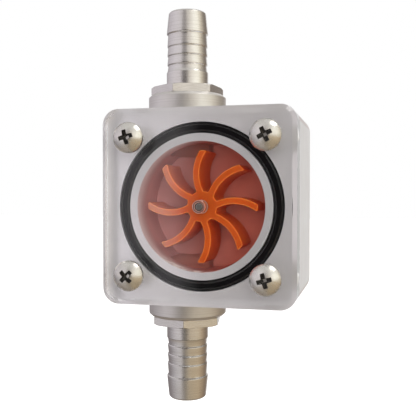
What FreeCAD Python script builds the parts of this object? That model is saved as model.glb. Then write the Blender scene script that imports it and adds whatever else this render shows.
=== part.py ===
import FreeCAD, Part
import math
import os

# Paddle-wheel flow indicator for a hose, in millimetres.
# A square metal block holds a round chamber, closed by a clear cover. A wheel with curved blades
# turns in the chamber on an axle that runs from the block's back wall into the cover. The liquid
# comes in at the top hose barb, strikes the wheel on its left side and leaves at the bottom one.
# The origin is the middle of the block's back face, on the wheel's axis line.
# +Z is up, +X is to the right as seen from the front, and +Y points out of the back.

Vector = FreeCAD.Vector
FORWARD = Vector(0, -1, 0)
BACKWARD = Vector(0, 1, 0)
UP = Vector(0, 0, 1)

# Wheel
blade_count = 8
wheel_radius = 17.4
wheel_width = 14.5
hub_radius = 4.75
blade_thickness = 2.0
blade_bend_radius = 12.7
blade_crown_at = 10.1
blade_crown = 1.85
root_fillet = 0.6
tip_fillet = 0.4

# Axle, its bushes and the thrust washers
axle_radius = 1.25
axle_end_chamfer = 0.35
axle_end_play = 0.3
running_gap = 0.03
press_gap = 0.01
bush_wall = 0.72
bush_seat_front = 2.4
bush_seat_rear = 4.0
bush_proud = 1.35
washer_thickness = 0.8
washer_wall = 0.85
axial_play = 0.1

# Chamber, block and cover
tip_gap = 2.7
land_width = 2.4
back_wall = 15.0
corner_radius = 5.0
block_edge_break = 0.5
cover_thickness = 8.0
cover_chamfer = 1.3

# Cover seal: an O-ring, pressed flat in its groove by the cover
o_ring_height = 2.6
o_ring_width = 3.25
groove_gap = 0.1

# Cover screws, M5 with a pan head
screw_radius = 2.5
screw_thread_gap = 0.05
screw_cover_gap = 0.25
screw_engagement = 8.0
screw_hole_extra = 1.0
screw_end_chamfer = 0.6
screw_head_radius = 4.75
screw_head_height = 3.5
screw_head_rim = 0.9
screw_wall = 1.2
screw_edge = 9.0

# Ports, with a parallel G1/2 thread
port_offset = 9.4
port_thread_radius = 10.35
port_thread_gap = 0.1
port_thread_depth = 9.5
port_core_radius = 9.3
port_past_chamber = 3.9
port_mouth_chamfer = 0.5

# Flat ring under each fitting's collar
seal_thickness = 1.0
seal_width = 1.9
seal_gap = 0.15

# Hose barb fittings
barb_bore_radius = 4.5
barb_thread_length = 9.0
thread_end_chamfer = 0.8
collar_past_seal = 0.5
collar_height = 5.8
collar_chamfer_across = 1.1
collar_chamfer_along = 1.0
collar_seat_chamfer = 0.3
hex_across_flats = 21.0
hex_height = 2.7
hex_corner_chamfer = 0.5
neck_radius = 6.95
neck_length = 5.3
neck_round = 0.6
waist_radius = 6.4
waist_length = 2.0
ridge_count = 4
ridge_pitch = 3.05
ridge_radius = 6.7
last_ridge_pitch = 4.25
last_ridge_radius = 6.9
ridge_land = 0.4
ridge_step = 0.3
ridge_valley = 0.25
nose_length = 6.9
nose_radius = 6.0
nose_round = 0.5

# How far past its own front corner each fitting's hexagon stopped when it was tightened, in
# degrees towards +X
hex_turn_top = -7.6
hex_turn_bottom = 9.0

# Worked out from the sizes above
wheel_gap = bush_proud + washer_thickness + axial_play
chamber_radius = wheel_radius + tip_gap
chamber_depth = wheel_width + 2 * wheel_gap
block_depth = chamber_depth + back_wall
groove_inner = chamber_radius + land_width
groove_outer = groove_inner + o_ring_width + 2 * groove_gap
tapped_radius = screw_radius + screw_thread_gap
screw_place = (groove_outer + screw_wall + tapped_radius) / math.sqrt(2)
block_half = screw_place + screw_edge
axle_bore_radius = axle_radius + running_gap
bush_radius = axle_bore_radius + bush_wall

block_front = -block_depth
cover_front = block_front - cover_thickness
chamber_back = block_front + chamber_depth
wheel_front = block_front + wheel_gap
wheel_rear = chamber_back - wheel_gap
port_y = -block_depth / 2
port_stop = chamber_radius - port_past_chamber
seal_inner = port_thread_radius + seal_gap
seal_outer = seal_inner + seal_width
collar_radius = seal_outer + collar_past_seal


def cylinder(radius, length, base, along):
    """A plain cylinder that starts at a point and runs along a direction."""
    return Part.makeCylinder(radius, length, base, along)


def tube(outer, inner, length, base, along):
    """A round tube with a straight bore."""
    return cylinder(outer, length, base, along).cut(cylinder(inner, length, base, along))


def turned(points):
    """A closed outline of (radius, height) points, turned about the Z axis."""
    outline = [Vector(radius, 0, height) for radius, height in points]
    outline.append(outline[0])
    face = Part.Face(Part.makePolygon(outline))
    return face.revolve(Vector(0, 0, 0), UP, 360)


def rounded_square(half, radius, y):
    """A square outline with round corners, in the plane across Y."""
    inner = half - radius
    edges = []
    for quarter in range(4):
        angle = math.radians(90 * quarter)
        middle = angle + math.radians(45)
        after = angle + math.radians(90)
        centre_x = inner * math.sqrt(2) * math.cos(middle)
        centre_z = inner * math.sqrt(2) * math.sin(middle)
        corner = [
            Vector(centre_x + radius * math.cos(turn), y, centre_z + radius * math.sin(turn))
            for turn in (angle, middle, after)
        ]
        edges.append(Part.Arc(*corner).toShape())
    sides = []
    for quarter in range(4):
        start = edges[quarter].valueAt(edges[quarter].LastParameter)
        following = edges[(quarter + 1) % 4]
        end = following.valueAt(following.FirstParameter)
        sides.append(Part.LineSegment(start, end).toShape())
    return Part.Wire(Part.__sortEdges__(edges + sides))


def plate(half, radius, y, thickness):
    """A square plate with round corners, from y backwards."""
    return Part.Face(rounded_square(half, radius, y)).extrude(BACKWARD * thickness)


def outline_edges(solid, y):
    """The outer edges of a solid that lie in the plane at y, away from its round holes."""
    found = []
    for edge in solid.Edges:
        box = edge.BoundBox
        flat = abs(box.YMin - y) < 1e-6 and abs(box.YMax - y) < 1e-6
        reach = max(abs(box.XMin), abs(box.XMax), abs(box.ZMin), abs(box.ZMax))
        if flat and reach > block_half - 1e-6:
            found.append(edge)
    return found


def screw_points(y):
    """The four corners where the cover screws stand, at depth y."""
    return {
        "top_left": Vector(-screw_place, y, screw_place),
        "top_right": Vector(screw_place, y, screw_place),
        "bottom_left": Vector(-screw_place, y, -screw_place),
        "bottom_right": Vector(screw_place, y, -screw_place),
    }


def body_block():
    """The square block: chamber, seal groove, two ports, four tapped holes, rear bush seat."""
    block = plate(block_half, corner_radius, block_front, block_depth)
    block = block.makeChamfer(block_edge_break, outline_edges(block, 0))
    front = Vector(0, block_front, 0)
    groove = tube(groove_outer, groove_inner, o_ring_height, front, BACKWARD)
    chamber = cylinder(chamber_radius, chamber_depth, front, BACKWARD)
    bush_seat = cylinder(
        bush_radius + press_gap, bush_seat_rear, Vector(0, chamber_back, 0), BACKWARD
    )
    cuts = [groove, chamber, bush_seat]
    for side in (1, -1):
        face = Vector(-port_offset, port_y, side * block_half)
        inwards = UP * -side
        hole_radius = port_thread_radius + port_thread_gap
        cuts.append(cylinder(hole_radius, port_thread_depth, face, inwards))
        cuts.append(cylinder(port_core_radius, block_half - port_stop, face, inwards))
        cuts.append(Part.makeCone(
            hole_radius + port_mouth_chamfer, hole_radius, port_mouth_chamfer, face, inwards
        ))
    hole_depth = screw_engagement + screw_hole_extra
    for point in screw_points(block_front).values():
        cuts.append(cylinder(tapped_radius, hole_depth, point, BACKWARD))
    return block.cut(cuts).removeSplitter()


def front_cover():
    """The clear plate: chamfered front edge, four screw holes, a blind seat for the front bush."""
    cover = plate(block_half, corner_radius, cover_front, cover_thickness)
    cover = cover.makeChamfer(cover_chamfer, outline_edges(cover, cover_front))
    cuts = [cylinder(bush_radius + press_gap, bush_seat_front, Vector(0, block_front, 0), FORWARD)]
    for point in screw_points(cover_front).values():
        cuts.append(cylinder(screw_radius + screw_cover_gap, cover_thickness, point, BACKWARD))
    return cover.cut(cuts)


def cover_o_ring():
    """The cover seal, flattened between the groove's floor and the cover."""
    bend = o_ring_height / 2
    inner = groove_inner + groove_gap + bend
    outer = groove_outer - groove_gap - bend
    low = block_front
    high = block_front + o_ring_height
    middle = block_front + bend
    section = Part.Wire([
        Part.LineSegment(Vector(inner, low, 0), Vector(outer, low, 0)).toShape(),
        Part.Arc(
            Vector(outer, low, 0), Vector(outer + bend, middle, 0), Vector(outer, high, 0)
        ).toShape(),
        Part.LineSegment(Vector(outer, high, 0), Vector(inner, high, 0)).toShape(),
        Part.Arc(
            Vector(inner, high, 0), Vector(inner - bend, middle, 0), Vector(inner, low, 0)
        ).toShape(),
    ])
    return Part.Face(section).revolve(Vector(0, 0, 0), BACKWARD, 360)


def cover_screw(seat):
    """A pan-head screw turned as one piece, whose head stands on the cover at a point."""
    dome_height = screw_head_height - screw_head_rim
    dome_radius = (screw_head_radius**2 + dome_height**2) / (2 * dome_height)
    half_turn = math.asin(screw_head_radius / dome_radius) / 2
    halfway_down = dome_radius * (1 - math.cos(half_turn))
    length = cover_thickness + screw_engagement
    crown = Vector(0, -screw_head_height, 0)
    shoulder = Vector(dome_radius * math.sin(half_turn), halfway_down - screw_head_height, 0)
    rim = Vector(screw_head_radius, -screw_head_rim, 0)
    dome = Part.Arc(crown, shoulder, rim).toShape()
    below = Part.makePolygon([
        rim,
        Vector(screw_head_radius, 0, 0),
        Vector(screw_radius, 0, 0),
        Vector(screw_radius, length - screw_end_chamfer, 0),
        Vector(screw_radius - screw_end_chamfer, length, 0),
        Vector(0, length, 0),
        crown,
    ])
    screw = Part.Face(Part.Wire([dome] + below.Edges)).revolve(Vector(0, 0, 0), BACKWARD, 360)
    screw.translate(seat)
    return screw


def blade():
    """One curved blade, pointing along +X: a band of even thickness, cut at the wheel's rim."""
    arc_z = blade_crown - blade_bend_radius
    start = math.asin((hub_radius / 2 - blade_crown_at) / blade_bend_radius)
    end = math.asin((wheel_radius + blade_thickness - blade_crown_at) / blade_bend_radius)
    outer_radius = blade_bend_radius + blade_thickness / 2
    inner_radius = blade_bend_radius - blade_thickness / 2

    def at(radius, turn):
        return Vector(
            blade_crown_at + radius * math.sin(turn),
            wheel_front,
            arc_z + radius * math.cos(turn),
        )

    def arc(radius):
        points = [at(radius, turn) for turn in (start, (start + end) / 2, end)]
        return Part.Arc(*points).toShape()

    ends = [
        Part.LineSegment(at(inner_radius, turn), at(outer_radius, turn)).toShape()
        for turn in (start, end)
    ]
    outline = Part.Wire(Part.__sortEdges__([arc(outer_radius), arc(inner_radius)] + ends))
    band = Part.Face(outline).extrude(BACKWARD * wheel_width)
    return band.common(
        cylinder(wheel_radius, wheel_width, Vector(0, wheel_front, 0), BACKWARD)
    )


def edges_along_axis(solid, radius):
    """The straight edges of the wheel that run along its axle line, at a distance from it."""
    found = []
    for edge in solid.Edges:
        box = edge.BoundBox
        along = abs(box.YLength - wheel_width) < 1e-6 and box.XLength + box.ZLength < 1e-6
        if along and abs(math.hypot(box.XMin, box.ZMin) - radius) < 1e-4:
            found.append(edge)
    return found


def rotor():
    """The moulded wheel: a hub with a bore for the axle, and blades all round it."""
    front = Vector(0, wheel_front, 0)
    first = blade()
    blades = []
    for number in range(blade_count):
        copy = first.copy()
        copy.rotate(Vector(0, 0, 0), FORWARD, 360 * number / blade_count)
        blades.append(copy)
    wheel = cylinder(hub_radius, wheel_width, front, BACKWARD).fuse(blades).removeSplitter()
    wheel = wheel.makeFillet(root_fillet, edges_along_axis(wheel, hub_radius))
    wheel = wheel.makeFillet(tip_fillet, edges_along_axis(wheel, wheel_radius))
    return wheel.cut(cylinder(axle_radius + press_gap, wheel_width, front, BACKWARD))


def axle():
    """The shaft, pressed into the wheel, with both ends chamfered."""
    front = block_front - bush_seat_front + axle_end_play
    rear = chamber_back + bush_seat_rear - axle_end_play
    shaft = cylinder(axle_radius, rear - front, Vector(0, front, 0), BACKWARD)
    ends = [edge for edge in shaft.Edges if edge.BoundBox.YLength < 1e-6]
    return shaft.makeChamfer(axle_end_chamfer, ends)


def bush(opening, seat_depth, inwards):
    """A bush that is pressed into a blind seat and stands proud of it, towards the wheel."""
    bottom = opening - inwards * seat_depth
    return tube(bush_radius, axle_bore_radius, seat_depth + bush_proud, bottom, inwards)


def thrust_washer(opening, inwards):
    """A washer on the end of a bush, with the axial play between it and the hub."""
    outer = axle_bore_radius + washer_wall
    return tube(outer, axle_bore_radius, washer_thickness, opening + inwards * bush_proud, inwards)


def port_seal(side):
    """The flat ring that seals a port's thread, under the fitting's collar."""
    face = Vector(-port_offset, port_y, side * block_half)
    return tube(seal_outer, seal_inner, seal_thickness, face, UP * side)


def ridge_points(start):
    """The barb's ridges as (radius, height): each has a steep side towards the collar.

    The last one, which grips the hose's end first, stands further off and higher.
    """
    ridges = [(start + number * ridge_pitch, ridge_radius) for number in range(ridge_count - 1)]
    ridges.append((last_ridge_at(start), last_ridge_radius))
    points = []
    foot = waist_radius
    for crest, radius in ridges:
        points.append((foot, crest - ridge_step))
        points.append((radius, crest))
        points.append((radius, crest + ridge_land))
        foot = ridge_radius - ridge_valley
    return points


def last_ridge_at(start):
    """The height of the last ridge's crest, from the first one's."""
    return start + (ridge_count - 2) * ridge_pitch + last_ridge_pitch


def hex_base(height):
    """The hexagon, with a front corner and with the tips of its corners turned off."""
    corner_radius_hex = hex_across_flats / math.sqrt(3)
    corners = []
    for number in range(7):
        angle = math.radians(60 * number - 90)
        corners.append(Vector(
            corner_radius_hex * math.cos(angle), corner_radius_hex * math.sin(angle), height
        ))
    prism = Part.Face(Part.makePolygon(corners)).extrude(UP * hex_height)
    shoulder = corner_radius_hex - hex_corner_chamfer * math.sqrt(3)
    top = height + hex_height
    envelope = turned([
        (0, height),
        (corner_radius_hex, height),
        (corner_radius_hex, top - hex_corner_chamfer),
        (shoulder, top),
        (0, top),
    ])
    return prism.common(envelope)


def hose_barb(side, hex_turn):
    """A fitting turned from one piece: thread, collar, hexagon and a ridged hose tail."""
    hex_bottom = collar_height
    neck_start = hex_bottom + hex_height
    neck_end = neck_start + neck_length
    first_ridge = neck_end + waist_length
    tip = last_ridge_at(first_ridge) + ridge_land + nose_length
    profile = [
        (0, -barb_thread_length),
        (port_thread_radius - thread_end_chamfer, -barb_thread_length),
        (port_thread_radius, thread_end_chamfer - barb_thread_length),
        (port_thread_radius, 0),
        (collar_radius - collar_seat_chamfer, 0),
        (collar_radius, collar_seat_chamfer),
        (collar_radius, collar_height - collar_chamfer_along),
        (collar_radius - collar_chamfer_across, collar_height),
        (neck_radius, collar_height),
        (neck_radius, neck_end - neck_round),
        (neck_radius - neck_round / 2, neck_end),
    ]
    profile += ridge_points(first_ridge)
    profile += [
        (nose_radius + nose_round / 2, tip - nose_round),
        (nose_radius - nose_round / 2, tip),
        (0, tip),
    ]
    hexagon = hex_base(hex_bottom)
    hexagon.rotate(Vector(0, 0, 0), UP, side * hex_turn)
    fitting = turned(profile).fuse(hexagon).removeSplitter()
    bore_length = barb_thread_length + tip
    fitting = fitting.cut(
        cylinder(barb_bore_radius, bore_length, Vector(0, 0, -barb_thread_length), UP)
    )
    if side < 0:
        fitting.rotate(Vector(0, 0, 0), BACKWARD, 180)
    fitting.translate(Vector(-port_offset, port_y, side * (block_half + seal_thickness)))
    return fitting


def build():
    """Every piece of the indicator, by name."""
    cover_seat = Vector(0, block_front, 0)
    wall_seat = Vector(0, chamber_back, 0)
    pieces = {
        "body_block": body_block(),
        "front_cover": front_cover(),
        "cover_o_ring": cover_o_ring(),
        "rotor": rotor(),
        "axle": axle(),
        "axle_bush_front": bush(cover_seat, bush_seat_front, BACKWARD),
        "axle_bush_rear": bush(wall_seat, bush_seat_rear, FORWARD),
        "thrust_washer_front": thrust_washer(cover_seat, BACKWARD),
        "thrust_washer_rear": thrust_washer(wall_seat, FORWARD),
        "port_seal_top": port_seal(1),
        "port_seal_bottom": port_seal(-1),
        "hose_barb_top": hose_barb(1, hex_turn_top),
        "hose_barb_bottom": hose_barb(-1, hex_turn_bottom),
    }
    for name, seat in screw_points(cover_front).items():
        pieces["cover_screw_" + name] = cover_screw(seat)
    return pieces


os.makedirs("parts", exist_ok=True)
for name, shape in build().items():
    shape.exportStep("parts/" + name + ".step")
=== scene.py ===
import math

import bmesh
import bpy
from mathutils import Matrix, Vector


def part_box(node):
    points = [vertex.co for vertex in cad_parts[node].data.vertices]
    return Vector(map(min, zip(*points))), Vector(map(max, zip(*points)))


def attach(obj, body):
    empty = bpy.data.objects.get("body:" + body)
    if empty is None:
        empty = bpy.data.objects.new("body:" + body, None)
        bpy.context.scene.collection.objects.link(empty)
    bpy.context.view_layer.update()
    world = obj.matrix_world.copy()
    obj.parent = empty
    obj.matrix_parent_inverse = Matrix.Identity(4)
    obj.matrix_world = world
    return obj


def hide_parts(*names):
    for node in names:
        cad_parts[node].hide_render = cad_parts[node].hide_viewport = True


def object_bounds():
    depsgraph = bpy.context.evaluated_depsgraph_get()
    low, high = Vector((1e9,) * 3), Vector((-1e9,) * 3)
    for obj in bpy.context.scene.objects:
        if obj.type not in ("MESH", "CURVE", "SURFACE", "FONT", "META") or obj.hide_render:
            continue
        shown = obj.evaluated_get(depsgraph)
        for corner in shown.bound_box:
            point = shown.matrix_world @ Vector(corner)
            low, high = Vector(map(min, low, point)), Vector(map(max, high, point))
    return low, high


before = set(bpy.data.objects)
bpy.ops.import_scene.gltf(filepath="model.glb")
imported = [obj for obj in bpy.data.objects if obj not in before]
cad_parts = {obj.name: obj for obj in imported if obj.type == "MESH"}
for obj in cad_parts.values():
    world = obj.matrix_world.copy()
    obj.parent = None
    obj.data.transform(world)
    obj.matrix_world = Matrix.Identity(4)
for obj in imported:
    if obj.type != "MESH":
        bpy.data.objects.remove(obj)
cad_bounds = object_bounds()


# ---- Body block -------------------------------------------------------------------------------
# A square block of aluminium, milled all round and finely blasted, with a bored chamber and two
# tapped ports. Its edges are broken by hand with a file. Running water has left a brown film in
# the chamber and in the ports, and a white crust low on the chamber's front edge. Painted light
# makes the face paler on the left, the flanks paler, and the film paler near the front edge on
# the left, deeper in the chamber and in the ports; a pale fan on the turned land is a painted
# highlight.

def node(tree, kind, inputs=None, **settings):
    """Adds one node. Its settings go by name, and its inputs by name or by number."""
    made = tree.nodes.new(kind)
    for key, value in settings.items():
        setattr(made, key, value)
    for key, value in (inputs or {}).items():
        if isinstance(value, bpy.types.NodeSocket):
            tree.links.new(value, made.inputs[key])
        else:
            made.inputs[key].default_value = value
    return made


def math_of(tree, operation, *values):
    """The result of one sum on numbers or sockets."""
    return node(tree, "ShaderNodeMath", dict(enumerate(values)), operation=operation).outputs[0]


def between(tree, value, low, high, start=0.0, end=1.0):
    """A value carried over from one span to another, and held at its ends."""
    return node(
        tree, "ShaderNodeMapRange", {0: value, 1: low, 2: high, 3: start, 4: end}, clamp=True
    ).outputs[0]


def mixed(tree, share, first, second):
    """Two colours mixed by a share."""
    made = node(tree, "ShaderNodeMix", {0: share, 6: first, 7: second}, data_type="RGBA")
    return made.outputs[2]


def effect(name, inputs, outputs):
    """An empty node group with named inputs and outputs, for an effect that materials share."""
    group = bpy.data.node_groups.new(name, "ShaderNodeTree")
    for label, kind, value in inputs:
        socket = group.interface.new_socket(label, in_out="INPUT", socket_type=kind)
        if value is not None:
            socket.default_value = value
    for label in outputs:
        group.interface.new_socket(label, in_out="OUTPUT", socket_type="NodeSocketFloat")
    return group, group.nodes.new("NodeGroupInput"), group.nodes.new("NodeGroupOutput")


cloudy, entry, leaving = effect(
    "Cloudy marks",
    [("Place", "NodeSocketVector", None), ("Scale", "NodeSocketFloat", 100.0)],
    ["Mask"],
)
clouds = node(
    cloudy, "ShaderNodeTexNoise",
    {"Vector": entry.outputs["Place"], "Scale": entry.outputs["Scale"], "Detail": 6.0,
     "Roughness": 0.62},
)
cloudy.links.new(between(cloudy, clouds.outputs[0], 0.32, 0.70), leaving.inputs["Mask"])

grain, entry, leaving = effect(
    "Fine grain",
    [("Place", "NodeSocketVector", None), ("Scale", "NodeSocketFloat", 1000.0)],
    ["Height", "Speck"],
)
pits = node(
    grain, "ShaderNodeTexNoise",
    {"Vector": entry.outputs["Place"], "Scale": entry.outputs["Scale"], "Detail": 3.0},
)
grain.links.new(pits.outputs[0], leaving.inputs["Height"])
grain.links.new(between(grain, pits.outputs[0], 0.58, 0.75), leaving.inputs["Speck"])

rings, entry, leaving = effect(
    "Turned rings",
    [("Place", "NodeSocketVector", None), ("Scale", "NodeSocketFloat", 3000.0)],
    ["Height"],
)
parts = node(rings, "ShaderNodeSeparateXYZ", {0: entry.outputs["Place"]})
across = math_of(
    rings, "SQRT",
    math_of(
        rings, "ADD",
        math_of(rings, "MULTIPLY", parts.outputs[0], parts.outputs[0]),
        math_of(rings, "MULTIPLY", parts.outputs[1], parts.outputs[1]),
    ),
)
travel = math_of(rings, "ADD", across, parts.outputs[2])
tool_path = node(
    rings, "ShaderNodeTexNoise",
    {"W": math_of(rings, "MULTIPLY", travel, entry.outputs["Scale"]), "Scale": 1.0, "Detail": 3.0},
    noise_dimensions="1D",
)
rings.links.new(tool_path.outputs[0], leaving.inputs["Height"])


def surface(name, **plain):
    """A new material: its tree, its Principled surface and its own Object coordinates."""
    made = bpy.data.materials.new(name)
    made.use_nodes = True
    tree = made.node_tree
    shader = tree.nodes["Principled BSDF"]
    for key, value in plain.items():
        shader.inputs[key.replace("_", " ")].default_value = value
    place = node(tree, "ShaderNodeTexCoord").outputs["Object"]
    return made, tree, shader, place


def use(tree, group, **inputs):
    """One of the shared effects, placed in a material with its own values."""
    made = node(tree, "ShaderNodeGroup", node_tree=group)
    for key, value in inputs.items():
        if isinstance(value, bpy.types.NodeSocket):
            tree.links.new(value, made.inputs[key])
        else:
            made.inputs[key].default_value = value
    return made.outputs


def feed(tree, shader, **values):
    """Leads each value to the input of the surface that it is named after."""
    for key, value in values.items():
        tree.links.new(value, shader.inputs[key.replace("_", " ")])


def roughen(tree, shader, height, distance, strength):
    """A bump from a height onto the surface. The distance is in metres."""
    bump = node(
        tree, "ShaderNodeBump", {"Height": height, "Distance": distance, "Strength": strength}
    )
    feed(tree, shader, Normal=bump.outputs[0])


def facing_front(tree, place):
    """The place tipped forwards, so that turned rings run round the wheel's axis."""
    return node(
        tree, "ShaderNodeMapping", {"Vector": place, "Rotation": (math.radians(90), 0, 0)}
    ).outputs[0]


def keep_flats_flat(piece):
    """Evens the shading, so that a broken edge doesn't bend the light on the flat beside it."""
    even = piece.modifiers.new("even_shading", "WEIGHTED_NORMAL")
    even.weight = 90
    even.keep_sharp = True
    bpy.ops.object.modifier_apply(modifier=even.name)


def with_broken_edges(name, width, segments=2, sharp=40):
    """A merged copy of a node with its sharp edges broken. They take its second material."""
    same_point = 2e-6
    same_plane = math.radians(0.5)
    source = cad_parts[name]
    bpy.ops.object.select_all(action="DESELECT")
    piece = bpy.data.objects.new(name + "_finished", source.data.copy())
    bpy.context.scene.collection.objects.link(piece)
    bpy.context.view_layer.objects.active = piece
    piece.select_set(True)
    bpy.ops.object.mode_set(mode="EDIT")
    bpy.ops.mesh.select_all(action="SELECT")
    bpy.ops.mesh.remove_doubles(threshold=same_point)
    bpy.ops.mesh.dissolve_limited(angle_limit=same_plane)
    bpy.ops.object.mode_set(mode="OBJECT")
    bpy.ops.mesh.customdata_custom_splitnormals_clear()
    piece.data.materials.clear()
    piece.data.materials.append(None)
    piece.data.materials.append(None)
    edges = piece.modifiers.new("edges", "BEVEL")
    edges.width = width
    edges.segments = segments
    edges.limit_method = "ANGLE"
    edges.angle_limit = math.radians(sharp)
    edges.material = 1
    edges.miter_outer = "MITER_ARC"
    bpy.ops.object.modifier_apply(modifier=edges.name)
    bpy.ops.object.shade_smooth_by_angle(angle=math.radians(30))
    keep_flats_flat(piece)
    return piece


def finish_piece(piece, body, slot, *materials):
    """Gives a piece its materials, and ties it to its body. The slot is not used."""
    for number, made in enumerate(materials):
        if number == len(piece.data.materials):
            piece.data.materials.append(made)
        piece.data.materials[number] = made
    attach(piece, body)


def product(tree, *values):
    """Several masks or numbers multiplied together."""
    result = values[0]
    for value in values[1:]:
        result = math_of(tree, "MULTIPLY", result, value)
    return result


def block_surface(name, face, land, flank, roughness):
    """Blasted aluminium, turned rings on the bored land, and the film inside the chamber."""
    low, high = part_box("body_block")
    chamber_radius = 0.0201
    chamber_floor = -0.0150
    port_radius = 0.01045
    port_end = 0.0150
    seal_width = 0.00325
    seal_room = 0.0001
    land_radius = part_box("cover_o_ring")[1].x - seal_width - seal_room
    port_low, port_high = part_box("hose_barb_top")
    port_middle = (port_low + port_high) / 2

    made, tree, shader, place = surface(name, Specular_IOR_Level=0.25)
    x, y, z = node(tree, "ShaderNodeSeparateXYZ", {0: place}).outputs
    upright = math_of(tree, "ABSOLUTE", z)
    radius = math_of(
        tree, "SQRT", math_of(tree, "ADD", product(tree, x, x), product(tree, z, z))
    )
    square = math_of(tree, "MAXIMUM", math_of(tree, "ABSOLUTE", x), upright)
    port_axis = node(
        tree, "ShaderNodeCombineXYZ", {0: port_middle.x, 1: port_middle.y, 2: z}
    ).outputs[0]
    from_port = node(
        tree, "ShaderNodeVectorMath", {0: place, 1: port_axis}, operation="DISTANCE"
    ).outputs["Value"]
    marks = use(tree, cloudy, Place=place, Scale=55.0)["Mask"]
    blotches = use(tree, cloudy, Place=place, Scale=230.0)["Mask"]
    flakes = use(tree, cloudy, Place=place, Scale=520.0)["Mask"]
    fine = use(tree, grain, Place=place, Scale=2600.0)
    turned = use(tree, rings, Place=facing_front(tree, place), Scale=5200.0)["Height"]

    before_floor = between(tree, y, chamber_floor + 0.0050, chamber_floor + 0.0045)
    bored = product(
        tree, between(tree, radius, land_radius + 0.0001, land_radius - 0.0001), before_floor
    )
    outside = between(tree, square, high.x - 0.00015, high.x - 0.00005)
    in_ports = product(
        tree,
        between(tree, from_port, port_radius + 0.00035, port_radius + 0.00015),
        between(tree, upright, high.z - 0.0004, high.z - 0.0006),
        between(tree, upright, port_end, port_end + 0.0005),
    )
    in_chamber = product(
        tree,
        between(tree, radius, chamber_radius + 0.0005, chamber_radius + 0.0003),
        between(tree, y, low.y + 0.00002, low.y + 0.00012),
        before_floor,
    )
    film = math_of(tree, "MAXIMUM", in_chamber, in_ports)
    on_wall = between(tree, radius, chamber_radius - 0.0008, chamber_radius - 0.0002)

    # Painted highlight: a pale fan on the lower left of the turned land, where its rings catch the
    # light; cloudy marks break it up.
    painted_fan_highlight = product(
        tree,
        between(tree, math_of(tree, "ADD", x, z), -0.010, -0.028),
        between(tree, marks, 0.0, 1.0, 1.0, 0.7),
    )
    land_tone = mixed(tree, painted_fan_highlight, land, (0.94, 0.86, 0.90, 1))
    # Painted light: the face is made paler towards the left, where more light falls on it.
    bright = (face[0] * 1.20, face[1] * 1.21, face[2] * 1.24, 1)
    face_tone = mixed(tree, between(tree, x, 0.006, -0.026), face, bright)
    metal = mixed(tree, bored, face_tone, land_tone)
    # The flanks are blasted rougher and less metallic; their paler, bluer colour is painted light
    # from the window.
    metal = mixed(tree, outside, metal, flank)
    handled = (face[0] * 0.86, face[1] * 0.87, face[2] * 0.90, 1)
    metal = mixed(tree, product(tree, marks, 0.30), metal, handled)
    pitted = (face[0] * 0.76, face[1] * 0.76, face[2] * 0.76, 1)
    metal = mixed(tree, product(tree, fine["Speck"], 0.30), metal, pitted)

    rightwards = between(tree, x, -0.016, 0.008)
    thin_film = mixed(tree, rightwards, (0.47, 0.195, 0.172, 1), (0.46, 0.105, 0.070, 1))
    # Painted light: deeper in, towards the floor, the film turns paler to lift the shade there.
    deep_film_painted_light = mixed(tree, rightwards, (0.57, 0.245, 0.228, 1), (0.64, 0.165, 0.115, 1))
    brown = mixed(tree, between(tree, y, -0.0280, -0.0210), thin_film, deep_film_painted_light)
    brown = mixed(tree, product(tree, blotches, 0.25), brown, (0.36, 0.105, 0.080, 1))
    # Painted light: the left wall's deeper part, down to the floor, is paler still to lift its
    # shade.
    painted_light_low_wall = product(
        tree,
        on_wall,
        between(tree, x, 0.006, -0.010),
        between(tree, y, -0.0300, -0.0240),
        between(tree, y, chamber_floor - 0.0001, chamber_floor - 0.0004),
    )
    brown = mixed(tree, painted_light_low_wall, brown, (0.66, 0.30, 0.28, 1))
    # Painted light: near the chamber's front edge the left wall turns pale and patchy, where light
    # from the right falls on it.
    painted_light_at_mouth = product(
        tree,
        between(tree, y, low.y, low.y + 0.0085, 1.0, 0.0),
        between(tree, x, 0.002, -0.006),
        between(tree, blotches, 0.0, 1.0, 1.0, 0.82),
    )
    brown = mixed(tree, painted_light_at_mouth, brown, (0.66, 0.52, 0.53, 1))
    crust = product(
        tree,
        on_wall,
        between(tree, y, low.y + 0.0050, low.y + 0.0030),
        between(tree, z, -0.0150, -0.0180),
        between(tree, x, 0.0040, 0.0010),
        between(tree, flakes, 0.35, 0.50),
    )
    brown = mixed(tree, crust, brown, (0.92, 0.84, 0.82, 1))
    # Painted light: the film deep in the ports is paler, to lift the shade inside them.
    painted_light_in_ports = product(tree, in_ports, math_of(tree, "SUBTRACT", 1.0, in_chamber))
    brown = mixed(tree, painted_light_in_ports, brown, (0.78, 0.26, 0.20, 1))

    rough = math_of(
        tree, "ADD", between(tree, marks, 0.0, 1.0, roughness - 0.04, roughness + 0.06),
        product(tree, outside, 0.15),
    )
    bare = between(tree, outside, 0.0, 1.0, 0.72, 0.45)
    feed(
        tree, shader,
        Base_Color=mixed(tree, film, metal, brown),
        Roughness=math_of(tree, "ADD", rough, product(tree, film, 0.15)),
        Metallic=product(tree, bare, math_of(tree, "SUBTRACT", 1.0, film)),
    )
    height = node(tree, "ShaderNodeMix", {0: bored, 2: fine["Height"], 3: turned})
    roughen(tree, shader, height.outputs[0], 0.00006, 0.45)
    return made


block = with_broken_edges("body_block", 0.00010)
block_metal = block_surface("Blasted aluminium", (0.75, 0.70, 0.715, 1),
                            (0.66, 0.625, 0.64, 1), (0.88, 0.91, 0.95, 1), 0.35)
block_edge = block_surface("Filed aluminium edge", (0.80, 0.78, 0.79, 1),
                           (0.80, 0.78, 0.79, 1), (0.90, 0.90, 0.92, 1), 0.30)
finish_piece(block, "housing", "block_metal", block_metal, block_edge)
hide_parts("body_block")


# ---- Port seals -------------------------------------------------------------------------------
# A flat ring of white sealing plastic under each fitting's collar, stamped from sheet and
# squeezed between the collar and the block, so its rim bulges a little.

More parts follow.
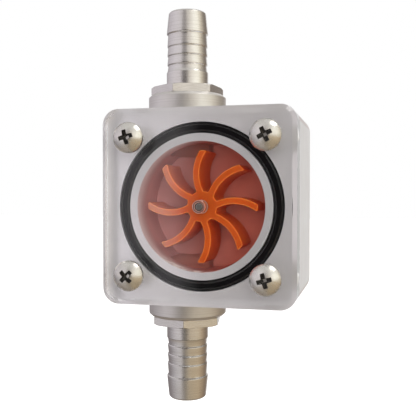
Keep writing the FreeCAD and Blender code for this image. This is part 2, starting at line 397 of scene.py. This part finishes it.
seal_white, tree, shader, place = surface("Stamped sealing sheet", Roughness=0.5)
tone = use(tree, cloudy, Place=place, Scale=260.0)["Mask"]
feed(tree, shader, Base_Color=mixed(
    tree, product(tree, tone, 0.6), (0.78, 0.77, 0.74, 1), (0.62, 0.60, 0.56, 1)
))
roughen(tree, shader, use(tree, grain, Place=place, Scale=1800.0)["Height"], 0.00005, 0.6)
for name in ("port_seal_top", "port_seal_bottom"):
    seal = with_broken_edges(name, 0.00022, segments=3)
    finish_piece(seal, "housing", "port_seal_plastic", seal_white, seal_white)
    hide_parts(name)


# ---- Hose barbs -------------------------------------------------------------------------------
# Each fitting is turned from one bar: the ridged tail, the neck and the round collar come off
# the lathe, the low hexagon is milled for a spanner, and the bare metal keeps its tool marks.

def turned_metal(name, middle, colour, worn, roughness):
    """Turned bar metal about an upright axis, with rings from the tool and handled patches."""
    wet_below = 0.0205
    collar_end = 0.0368
    made, tree, shader, place = surface(name)
    centred = node(
        tree, "ShaderNodeMapping", {"Vector": place, "Location": (-middle.x, -middle.y, 0)}
    ).outputs[0]
    coarse = use(tree, rings, Place=centred, Scale=2600.0)["Height"]
    fine = use(tree, rings, Place=centred, Scale=9000.0)["Height"]
    marks = use(tree, cloudy, Place=place, Scale=140.0)["Mask"]
    skin = use(tree, grain, Place=place, Scale=2200.0)["Height"]
    upright = math_of(tree, "ABSOLUTE", node(tree, "ShaderNodeSeparateXYZ", {0: place}).outputs[2])
    film = between(tree, upright, wet_below + 0.0010, wet_below)
    collar = between(tree, upright, collar_end + 0.0001, collar_end - 0.0001)

    in_rings = (worn[0] * 0.62, worn[1] * 0.60, worn[2] * 0.58, 1)
    tone = mixed(tree, product(tree, marks, 0.5), colour, worn)
    tone = mixed(tree, between(tree, coarse, 0.40, 0.68, 0.0, 0.18), tone, in_rings)
    rough = between(tree, marks, 0.0, 1.0, roughness - 0.05, roughness + 0.07)
    feed(
        tree, shader,
        Base_Color=mixed(tree, film, tone, (0.74, 0.25, 0.19, 1)),
        Metallic=math_of(tree, "SUBTRACT", 1.0, film),
        Roughness=math_of(tree, "ADD", rough, product(tree, collar, 0.22)),
    )
    height = math_of(tree, "ADD", product(tree, coarse, 0.5), fine)
    height = math_of(tree, "ADD", height, product(tree, skin, collar, 3.0))
    roughen(tree, shader, height, 0.00004, 0.35)
    return made


# Painted shade: the crests' broken edges take a darker tone than the bar, most on the lower
# fitting, to dim their glints.
for where, crest in (("top", 0.70), ("bottom", 0.50)):
    barb = with_broken_edges("hose_barb_" + where, 0.00012, sharp=25)
    low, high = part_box("hose_barb_" + where)
    middle = (low + high) / 2
    bar = turned_metal("Turned fitting " + where, middle, (0.76, 0.74, 0.72, 1),
                       (0.67, 0.64, 0.60, 1), 0.21)
    crest_painted_shade = turned_metal("Crest with painted shade " + where, middle, (crest, crest * 0.97, crest * 0.94, 1),
                          (crest * 0.9, crest * 0.86, crest * 0.8, 1), 0.24)
    finish_piece(barb, "housing", "fitting_metal", bar, crest_painted_shade)
    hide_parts("hose_barb_" + where)


# ---- Cover seal -------------------------------------------------------------------------------
# A black nitrile O-ring, moulded in two halves, pressed flat between the groove's floor and the
# cover. Its flanks stay round, and silicone grease leaves it slightly shiny.

def nitrile(name, shine, clean, greasy, roughest, smoothest, texture):
    """Black rubber, smoother and a little greyer where grease lies on it."""
    made, tree, shader, place = surface(name, Specular_IOR_Level=shine)
    grease = use(tree, cloudy, Place=place, Scale=170.0)["Mask"]
    feed(
        tree, shader,
        Base_Color=mixed(tree, grease, clean, greasy),
        Roughness=between(tree, grease, 0.0, 1.0, roughest, smoothest),
    )
    skin = use(tree, grain, Place=place, Scale=1500.0)["Height"]
    roughen(tree, shader, skin, 0.00004, texture)
    return made


pressed = nitrile("Pressed nitrile rubber", 0.0, (0.001, 0.001, 0.001, 1),
                  (0.003, 0.002, 0.003, 1), 0.50, 0.40, 0.3)
greased = nitrile("Greased rubber flank", 0.45, (0.002, 0.002, 0.002, 1),
                  (0.006, 0.005, 0.006, 1), 0.22, 0.12, 0.0)
o_ring = with_broken_edges("cover_o_ring", 0.00010, sharp=50)
bpy.ops.mesh.customdata_custom_splitnormals_clear()
bpy.ops.object.shade_smooth_by_angle(angle=math.radians(50))
for face in o_ring.data.polygons:
    face.material_index = 0 if abs(face.normal.y) > 0.95 else 1
finish_piece(o_ring, "housing", "seal_rubber", pressed, greased)
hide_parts("cover_o_ring")


# ---- Axle, bushes and thrust washers ----------------------------------------------------------
# The shaft is ground steel with faced ends. Its two bushes and two washers are turned from dark
# brown bearing plastic: the front bush sits in a blind seat in the cover, and shows as a ring.

steel, tree, shader, place = surface("Ground steel", Metallic=1.0)
dull = use(tree, cloudy, Place=place, Scale=900.0)["Mask"]
ground = use(tree, rings, Place=facing_front(tree, place), Scale=9000.0)["Height"]
feed(
    tree, shader,
    Base_Color=mixed(tree, dull, (0.20, 0.20, 0.19, 1), (0.30, 0.29, 0.28, 1)),
    Roughness=between(tree, dull, 0.0, 1.0, 0.30, 0.45),
)
roughen(tree, shader, ground, 0.00004, 0.5)
bright_edge, tree, shader, place = surface("Polished axle edge", Metallic=1.0)
dull = use(tree, cloudy, Place=place, Scale=900.0)["Mask"]
scuffs = use(tree, cloudy, Place=place, Scale=500.0)["Mask"]
feed(
    tree, shader,
    Base_Color=mixed(tree, dull, (0.72, 0.66, 0.62, 1), (0.60, 0.54, 0.50, 1)),
    Roughness=between(tree, scuffs, 0.0, 1.0, 0.22, 0.34),
)
axle = with_broken_edges("axle", 0.00008)
finish_piece(axle, "wheel", "axle_steel", steel, bright_edge)
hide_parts("axle")

bearing, tree, shader, place = surface("Turned bearing plastic")
tone = use(tree, cloudy, Place=place, Scale=700.0)["Mask"]
cut_rings = use(tree, rings, Place=facing_front(tree, place), Scale=7000.0)["Height"]
feed(
    tree, shader,
    Base_Color=mixed(tree, tone, (0.150, 0.040, 0.026, 1), (0.105, 0.028, 0.020, 1)),
    Roughness=between(tree, tone, 0.0, 1.0, 0.38, 0.52),
)
roughen(tree, shader, cut_rings, 0.00004, 0.5)
pale_rim, tree, shader, place = surface("Rubbed bearing rim")
tone = use(tree, cloudy, Place=place, Scale=700.0)["Mask"]
feed(
    tree, shader,
    Base_Color=mixed(tree, tone, (0.62, 0.36, 0.29, 1), (0.50, 0.25, 0.20, 1)),
    Roughness=between(tree, tone, 0.0, 1.0, 0.34, 0.46),
)
for name in ("axle_bush_front", "axle_bush_rear", "thrust_washer_front", "thrust_washer_rear"):
    ring = with_broken_edges(name, 0.00014)
    finish_piece(ring, "housing", "bush_plastic", bearing, pale_rim)
    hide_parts(name)


# ---- Wheel ------------------------------------------------------------------------------------
# The paddle wheel is one moulding in orange acetal, with eight curved blades on a thick hub. Its
# edges come rounded out of the mould and are worn paler by the water. The sides of the blades
# take a brighter, deeper orange: painted light that lifts the shade on them.

def moulded(name, colour, shade, roughness):
    """Orange acetal: light soaks into it a little. It has faint flow marks, a fine skin and,
    towards the left, a painted reflection.
    """
    made, tree, shader, place = surface(
        name, Specular_IOR_Level=0.10, Subsurface_Weight=0.6, Subsurface_Scale=0.003,
        Subsurface_Radius=(1.0, 0.35, 0.08),
    )
    flow = use(tree, cloudy, Place=place, Scale=120.0)["Mask"]
    skin = use(tree, grain, Place=place, Scale=1900.0)["Height"]
    x = node(tree, "ShaderNodeSeparateXYZ", {0: place}).outputs[0]
    # Painted reflection: towards the left the colour turns paler and greyer, as the veil on the
    # cover would make it.
    painted_reflection_left = between(tree, x, -0.005, -0.013, 0.0, 0.20)
    tone = mixed(tree, product(tree, flow, 0.7), colour, shade)
    feed(
        tree, shader,
        Base_Color=mixed(tree, painted_reflection_left, tone, (0.50, 0.60, 0.56, 1)),
        Roughness=between(tree, flow, 0.0, 1.0, roughness - 0.04, roughness + 0.08),
    )
    roughen(tree, shader, skin, 0.00005, 0.35)
    return made


wheel = with_broken_edges("rotor", 0.00028, segments=3)
acetal = moulded("Orange acetal", (0.51, 0.078, 0.007, 1), (0.42, 0.060, 0.005, 1), 0.36)
worn_acetal = moulded("Rubbed acetal edge", (0.72, 0.17, 0.030, 1), (0.62, 0.12, 0.018, 1), 0.30)
# Painted light: the blades' sides take a brighter, deeper orange than their fronts, to lift the
# shade on them.
side_acetal_painted_light = moulded("Acetal side with painted light", (0.70, 0.10, 0.009, 1), (0.62, 0.078, 0.007, 1), 0.36)
for face in wheel.data.polygons:
    if face.material_index == 0 and abs(face.normal.y) < 0.5:
        face.material_index = 2
finish_piece(wheel, "wheel", "wheel_plastic", acetal, worn_acetal, side_acetal_painted_light)
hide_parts("rotor")


# ---- Cover ------------------------------------------------------------------------------------
# A square plate of clear cast acrylic, sawn to size, with its corners rounded and its front edge
# chamfered and flame-polished. Four drilled holes take the screws and a blind one the bush. A thin
# film of air stays between the plate and the block.

def pick(kind, test):
    """In edit mode, selects only the vertices, edges or faces that pass a test."""
    mode = {"verts": "VERT", "edges": "EDGE", "faces": "FACE"}[kind]
    bpy.ops.mesh.select_mode(type=mode)
    bpy.ops.mesh.select_all(action="DESELECT")
    mesh = bmesh.from_edit_mesh(bpy.context.object.data)
    for element in getattr(mesh, kind):
        if test(element):
            element.select_set(True)
    bmesh.update_edit_mesh(bpy.context.object.data)


def cut_with(piece, cutter):
    """Takes one piece away from another, and then the cutter goes."""
    taking = piece.modifiers.new("cut", "BOOLEAN")
    taking.operation = "DIFFERENCE"
    taking.solver = "EXACT"
    taking.object = cutter
    bpy.ops.object.select_all(action="DESELECT")
    bpy.context.view_layer.objects.active = piece
    piece.select_set(True)
    bpy.ops.object.modifier_apply(modifier=taking.name)
    bpy.data.objects.remove(cutter)


def drill(piece, radius, start, end, vertices=96):
    """A round hole along Y, between two depths."""
    bpy.ops.object.select_all(action="DESELECT")
    bpy.ops.mesh.primitive_cylinder_add(
        vertices=vertices, radius=radius, depth=end - start[1],
        location=(start[0], (start[1] + end) / 2, start[2]), rotation=(math.radians(90), 0, 0),
    )
    cut_with(piece, bpy.context.object)


low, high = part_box("front_cover")
dry_gap = 0.00003
corner_radius = 0.0050
chamfer = 0.0013
screw_hole_radius = 0.00275
bush_room = 0.00001
past_face = 0.001
plate_size = Vector((high.x - low.x, high.y - low.y - dry_gap, high.z - low.z))
plate_middle = Vector((0, (low.y + high.y - dry_gap) / 2, 0))
bpy.ops.object.select_all(action="DESELECT")
bpy.ops.mesh.primitive_cube_add(size=1, location=plate_middle, scale=plate_size)
cover = bpy.context.object
cover.name = "front_cover_finished"
bpy.ops.object.transform_apply(location=True, rotation=True, scale=True)
bpy.ops.object.mode_set(mode="EDIT")
pick("edges", lambda edge: abs(edge.verts[0].co.y - edge.verts[1].co.y) > 0.001)
bpy.ops.mesh.bevel(offset=corner_radius, segments=16)
pick("edges", lambda edge: all(vert.co.y < low.y + 1e-6 for vert in edge.verts))
bpy.ops.mesh.bevel(offset=chamfer, segments=1)
bpy.ops.object.mode_set(mode="OBJECT")
screw_names = ("top_left", "top_right", "bottom_left", "bottom_right")
for name in screw_names:
    screw_low, screw_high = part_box("cover_screw_" + name)
    middle = (screw_low + screw_high) / 2
    drill(cover, screw_hole_radius, (middle.x, low.y - past_face, middle.z), high.y + past_face)
bush_low, bush_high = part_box("axle_bush_front")
drill(cover, bush_high.x + bush_room, (0, bush_low.y - dry_gap, 0), high.y + past_face, 64)
rim = cover.modifiers.new("rims", "BEVEL")
rim.width = 0.0002
rim.segments = 3
rim.limit_method = "ANGLE"
rim.angle_limit = math.radians(30)
bpy.ops.object.modifier_apply(modifier=rim.name)
bpy.ops.object.shade_smooth_by_angle(angle=math.radians(20))
keep_flats_flat(cover)

acrylic, tree, shader, place = surface(
    "Clear cast acrylic", Roughness=0.0, IOR=1.49, Transmission_Weight=1.0
)
haze = use(tree, cloudy, Place=place, Scale=45.0)["Mask"]
feed(tree, shader, Base_Color=mixed(
    tree, haze, (0.985, 0.995, 0.990, 1), (0.970, 0.985, 0.978, 1)
))
clear = node(tree, "ShaderNodeBsdfTransparent", {"Color": (0.93, 0.95, 0.945, 1)})
path = node(tree, "ShaderNodeLightPath")
lets_through = math_of(
    tree, "MAXIMUM", path.outputs["Is Shadow Ray"], path.outputs["Is Diffuse Ray"]
)
behind = node(
    tree, "ShaderNodeMixShader", {0: lets_through, 1: shader.outputs[0], 2: clear.outputs[0]}
)
tree.links.new(behind.outputs[0], tree.nodes["Material Output"].inputs["Surface"])
finish_piece(cover, "housing", "clear_acrylic", acrylic)
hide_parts("front_cover")


# ---- Cover screws -----------------------------------------------------------------------------
# Four M5 pan-head screws with a cross recess, cold-headed in steel, with a rolled thread and
# bright nickel plating. They hold the cover and its seal down, and each stopped at its own turn.

plating, tree, shader, place = surface("Bright nickel plating", Metallic=1.0)
marks = use(tree, cloudy, Place=place, Scale=420.0)["Mask"]
feed(
    tree, shader,
    Base_Color=mixed(tree, product(tree, marks, 0.6), (0.76, 0.74, 0.70, 1), (0.58, 0.56, 0.52, 1)),
    Roughness=between(tree, marks, 0.0, 1.0, 0.20, 0.34),
)
roughen(tree, shader, use(tree, grain, Place=place, Scale=1500.0)["Height"], 0.00004, 0.5)

# Painted shade: the cross recess is coloured nearly black, for the shade inside it.
recess_shade, tree, shader, place = surface("Painted shade in the recess", Roughness=0.6)
marks = use(tree, cloudy, Place=place, Scale=900.0)["Mask"]
feed(tree, shader, Base_Color=mixed(
    tree, marks, (0.008, 0.007, 0.006, 1), (0.030, 0.026, 0.022, 1)
))

low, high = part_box("cover_screw_top_left")
head_radius = (high.x - low.x) / 2
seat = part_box("front_cover")[0].y - 0.00002
head_height = seat - low.y
rim_height = 0.0009
dome_height = head_height - rim_height
dome_radius = (head_radius**2 + dome_height**2) / (2 * dome_height)
dome_middle = low.y + dome_radius
core_radius = 0.0020
crest_radius = 0.00248
ridge_root = core_radius - 0.0001
thread_pitch = 0.0008
point_height = 0.0006
point_taper = 0.72
recess_width = 0.0016
recess_wing = 0.0021
recess_depth = 0.0024
recess_rise = -0.0008
recess_taper = 0.60
recess_middle = low.y + recess_width / 2

bpy.ops.object.select_all(action="DESELECT")
bpy.ops.mesh.primitive_uv_sphere_add(
    segments=96, ring_count=64, radius=dome_radius,
    location=(0, dome_middle, 0), rotation=(math.radians(90), 0, 0),
)
head = bpy.context.object
bpy.ops.object.transform_apply(location=True, rotation=True, scale=True)
bpy.ops.object.mode_set(mode="EDIT")
bpy.ops.mesh.select_all(action="SELECT")
bpy.ops.mesh.bisect(
    plane_co=(0, seat - rim_height, 0), plane_no=(0, 1, 0), use_fill=True, clear_outer=True
)
pick("faces", lambda face: face.normal.y > 0.99)
bpy.ops.mesh.extrude_region_move(TRANSFORM_OT_translate={"value": (0, rim_height, 0)})
bpy.ops.mesh.inset(thickness=head_radius - core_radius)
bpy.ops.mesh.extrude_region_move(
    TRANSFORM_OT_translate={"value": (0, high.y - seat - point_height, 0)}
)
bpy.ops.mesh.extrude_region_move(TRANSFORM_OT_translate={"value": (0, point_height, 0)})
bpy.ops.transform.resize(value=(point_taper, 1, point_taper), center_override=(0, high.y, 0))
bpy.ops.object.mode_set(mode="OBJECT")

bpy.ops.mesh.primitive_cube_add(size=recess_width, location=(0, recess_middle, 0))
cutter = bpy.context.object
bpy.ops.object.transform_apply(location=True, rotation=True, scale=True)
bpy.ops.object.mode_set(mode="EDIT")
pick("faces", lambda face: abs(face.normal.y) < 0.5)
bpy.ops.mesh.extrude_faces_move(TRANSFORM_OT_shrink_fatten={"value": recess_wing})
pick("verts", lambda vert: vert.co.y < recess_middle)
bpy.ops.transform.translate(value=(0, -past_face, 0))
pick("verts", lambda vert: vert.co.y > recess_middle)
bpy.ops.transform.translate(value=(0, recess_depth - recess_width, 0))
bpy.ops.transform.resize(
    value=(recess_taper, 1, recess_taper), center_override=(0, low.y + recess_depth, 0)
)
pick("verts", lambda vert: (
    vert.co.y > recess_middle and max(abs(vert.co.x), abs(vert.co.z)) > recess_width / 2
))
bpy.ops.transform.translate(value=(0, recess_rise, 0))
bpy.ops.object.mode_set(mode="OBJECT")
cut_with(head, cutter)
head.data.materials.append(plating)
head.data.materials.append(recess_shade)
bpy.ops.object.mode_set(mode="EDIT")
pick("faces", lambda face: (
    face.calc_center_median().y < low.y + recess_depth - 0.00005
    and (face.calc_center_median() - Vector((0, dome_middle, 0))).length < dome_radius - 0.00003
))
head.active_material_index = 1
bpy.ops.object.material_slot_assign()
bpy.ops.object.mode_set(mode="OBJECT")
edges = head.modifiers.new("edges", "BEVEL")
edges.width = 0.00013
edges.segments = 2
edges.material = 0
edges.limit_method = "ANGLE"
edges.angle_limit = math.radians(35)
bpy.ops.object.modifier_apply(modifier=edges.name)

bpy.ops.object.select_all(action="DESELECT")
bpy.ops.mesh.primitive_circle_add(
    vertices=3, radius=thread_pitch / 2, location=(core_radius, seat + thread_pitch, 0),
    fill_type="NOTHING",
)
thread = bpy.context.object
bpy.ops.object.transform_apply(location=True, rotation=True, scale=True)
bpy.ops.object.mode_set(mode="EDIT")
ridge = bmesh.from_edit_mesh(thread.data)
ridge.verts.ensure_lookup_table()
ridge.verts[0].co = (ridge_root, seat + thread_pitch * 0.55, 0)
ridge.verts[1].co = (crest_radius, seat + thread_pitch, 0)
ridge.verts[2].co = (ridge_root, seat + thread_pitch * 1.45, 0)
bmesh.update_edit_mesh(thread.data)
bpy.ops.object.mode_set(mode="OBJECT")
winding = thread.modifiers.new("winding", "SCREW")
winding.axis = "Y"
winding.screw_offset = thread_pitch
winding.iterations = int((high.y - seat - point_height) / thread_pitch) - 2
winding.steps = 48
winding.render_steps = 48
bpy.ops.object.modifier_apply(modifier=winding.name)
bpy.ops.object.mode_set(mode="EDIT")
bpy.ops.mesh.select_mode(type="EDGE")
bpy.ops.mesh.select_all(action="DESELECT")
bpy.ops.mesh.select_non_manifold()
bpy.ops.mesh.edge_face_add()
bpy.ops.mesh.select_all(action="SELECT")
bpy.ops.mesh.normals_make_consistent(inside=False)
bpy.ops.object.mode_set(mode="OBJECT")
thread.data.materials.append(plating)
head.select_set(True)
bpy.context.view_layer.objects.active = head
bpy.ops.object.join()

stopped_at = (15, 25, 45, 15)
for name, turn in zip(screw_names, stopped_at):
    screw_low, screw_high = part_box("cover_screw_" + name)
    middle = (screw_low + screw_high) / 2
    screw = bpy.data.objects.new("cover_screw_" + name + "_finished", head.data.copy())
    bpy.context.scene.collection.objects.link(screw)
    bpy.ops.object.select_all(action="DESELECT")
    bpy.context.view_layer.objects.active = screw
    screw.select_set(True)
    screw.rotation_euler = (0, -math.radians(turn), 0)
    screw.location = (middle.x, 0, middle.z)
    bpy.ops.object.transform_apply(location=True, rotation=True, scale=True)
    bpy.ops.object.shade_smooth_by_angle(angle=math.radians(30))
    finish_piece(screw, "housing", "screw_steel", plating, recess_shade)
    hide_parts("cover_screw_" + name)
bpy.data.objects.remove(head)


# ---- Studio -----------------------------------------------------------------------------------
# A pale floor below the meter, which hangs on its hose. Round it stand a pale wall on the left, a
# dim room with someone in it behind the camera, a bright window on the right and a warm table
# below. A window lamp shines from above, and a large soft lamp from the front.

floor_drop = 0.055
bpy.ops.object.select_all(action="DESELECT")
bpy.ops.mesh.primitive_plane_add(size=6, location=(0, 0, cad_bounds[0].z - floor_drop))
floor = bpy.context.object
floor.name = "floor"
pale, tree, shader, place = surface("Pale floor", Roughness=0.8)
mottle = use(tree, cloudy, Place=place, Scale=3.0)["Mask"]
feed(tree, shader, Base_Color=mixed(tree, mottle, (0.86, 0.86, 0.86, 1), (0.84, 0.84, 0.84, 1)))
path = node(tree, "ShaderNodeLightPath")
glow = product(tree, path.outputs["Is Camera Ray"], 0.60)
lift = node(tree, "ShaderNodeEmission", {"Color": (1, 1, 1, 1), "Strength": glow})
both = node(tree, "ShaderNodeAddShader", {0: shader.outputs[0], 1: lift.outputs[0]})
tree.links.new(both.outputs[0], tree.nodes["Material Output"].inputs["Surface"])
floor.data.materials.append(pale)
floor.visible_glossy = False
floor.visible_transmission = False

world = bpy.data.worlds.new("Soft surround")
bpy.context.scene.world = world
world.use_nodes = True
tree = world.node_tree
tree.nodes.clear()
towards = node(tree, "ShaderNodeTexCoord").outputs["Generated"]
sideways, away, height_of_view = node(tree, "ShaderNodeSeparateXYZ", {0: towards}).outputs
around = math_of(tree, "ARCTAN2", sideways, product(tree, away, -1.0))
share = between(tree, around, -math.pi, math.pi)
up_or_down = math_of(tree, "ABSOLUTE", height_of_view)


def surround(stops):
    """Colours round the horizon: degrees from straight in front, towards the right."""
    ramp = node(tree, "ShaderNodeValToRGB", {0: share})
    points = ramp.color_ramp.elements
    for number, (degrees, colour) in enumerate(stops):
        place_on_ramp = (degrees + 180) / 360
        point = points[number] if number < 2 else points.new(place_on_ramp)
        point.position = place_on_ramp
        point.color = (*colour, 1)
    return ramp.outputs[0]


upper = surround([
    (-180, (0.72, 0.71, 0.71)), (180, (0.74, 0.73, 0.73)), (-150, (0.34, 0.32, 0.33)),
    (158, (0.22, 0.19, 0.17)), (167, (0.70, 0.68, 0.67)), (-100, (0.54, 0.51, 0.55)),
    (-60, (0.64, 0.61, 0.65)), (-22, (0.62, 0.59, 0.61)), (-13, (0.34, 0.32, 0.32)),
    (2, (0.24, 0.22, 0.22)), (14, (0.54, 0.51, 0.48)), (30, (0.74, 0.70, 0.64)),
    (52, (1.00, 0.98, 0.90)), (78, (1.00, 0.98, 0.87)), (96, (0.66, 0.60, 0.49)),
    (118, (0.33, 0.29, 0.24)), (140, (0.19, 0.165, 0.14)),
])
lower = surround([
    (-180, (0.66, 0.65, 0.65)), (180, (0.70, 0.69, 0.69)), (-150, (0.22, 0.20, 0.21)),
    (158, (0.20, 0.16, 0.13)), (167, (0.62, 0.60, 0.58)), (-110, (0.22, 0.20, 0.21)),
    (-70, (0.40, 0.385, 0.41)), (-48, (0.52, 0.51, 0.53)), (-22, (0.53, 0.51, 0.52)),
    (-13, (0.28, 0.26, 0.25)), (2, (0.23, 0.21, 0.18)), (14, (0.42, 0.36, 0.28)),
    (30, (0.46, 0.38, 0.27)), (80, (0.48, 0.385, 0.26)), (105, (0.37, 0.28, 0.185)),
    (130, (0.24, 0.18, 0.13)),
])
round_about = mixed(tree, between(tree, height_of_view, -0.20, 0.10), lower, upper)
overhead = mixed(tree, between(tree, height_of_view, 0.45, 0.90), round_about,
                 (0.56, 0.55, 0.54, 1))
underfoot = mixed(tree, between(tree, height_of_view, -0.35, -0.75, 0.0, 0.6), overhead,
                  (0.26, 0.21, 0.15, 1))
near_wall = product(
    tree,
    between(tree, around, math.radians(-80), math.radians(-65)),
    between(tree, around, math.radians(-13.0), math.radians(-14.5)),
    between(tree, up_or_down, 0.19, 0.13),
)
wall_tone = mixed(tree, between(tree, around, math.radians(-20.5), math.radians(-23.0)),
                  (0.50, 0.475, 0.49, 1), (0.62, 0.58, 0.60, 1))
walled = mixed(tree, near_wall, underfoot, wall_tone)
onlooker = product(
    tree,
    between(tree, around, math.radians(-16.8), math.radians(-14.5)),
    between(tree, around, math.radians(20), math.radians(17.5)),
    between(tree, up_or_down, 0.205, 0.175),
)
room = mixed(tree, onlooker, walled, (0.05, 0.045, 0.045, 1))
room_light = node(tree, "ShaderNodeBackground", {"Color": room, "Strength": 1.28})
white = node(tree, "ShaderNodeBackground", {"Color": (1, 1, 1, 1), "Strength": 1.0})
path = node(tree, "ShaderNodeLightPath")
through_cover = product(tree, path.outputs["Is Transmission Ray"], between(tree, away, -0.02, 0.02))
seen = math_of(tree, "MAXIMUM", path.outputs["Is Camera Ray"], through_cover)
shown = node(tree, "ShaderNodeMixShader", {0: seen, 1: room_light.outputs[0], 2: white.outputs[0]})
tree.links.new(shown.outputs[0], node(tree, "ShaderNodeOutputWorld").inputs["Surface"])


def soft_lamp(name, place, size, power, colour):
    """A square soft lamp that points at the meter's middle."""
    bpy.ops.object.light_add(type="AREA", location=place)
    made = bpy.context.object
    made.name = name
    made.data.size = size
    made.data.energy = power
    made.data.color = colour
    made.rotation_euler = (-Vector(place)).to_track_quat("-Z", "Y").to_euler()
    return made


soft_lamp("window_light", (0.62, -0.06, 1.08), 0.50, 2.8, (1.0, 0.985, 0.95))
front_light = soft_lamp("front_softbox", (0.27, -1.12, 0.10), 0.90, 12.0, (1.0, 0.99, 0.985))
front_light.visible_glossy = False
front_light.visible_transmission = False

yaw = math.radians(13.846)
pitch = math.radians(1.186)
aim = Vector((-math.sin(yaw) * math.cos(pitch), math.cos(yaw) * math.cos(pitch),
              -math.sin(pitch)))
camera_data = bpy.data.cameras.new("camera")
camera_data.sensor_width = 36.0
camera_data.lens = 56.97
camera_data.shift_y = -0.0023
camera_data.clip_start = 0.01
camera = bpy.data.objects.new("camera", camera_data)
bpy.context.scene.collection.objects.link(camera)
camera.location = (0.05039, -0.23087, 0.00408)
camera.rotation_euler = aim.to_track_quat("-Z", "Y").to_euler()
bpy.context.scene.camera = camera
bpy.context.scene.view_settings.view_transform = "Standard"
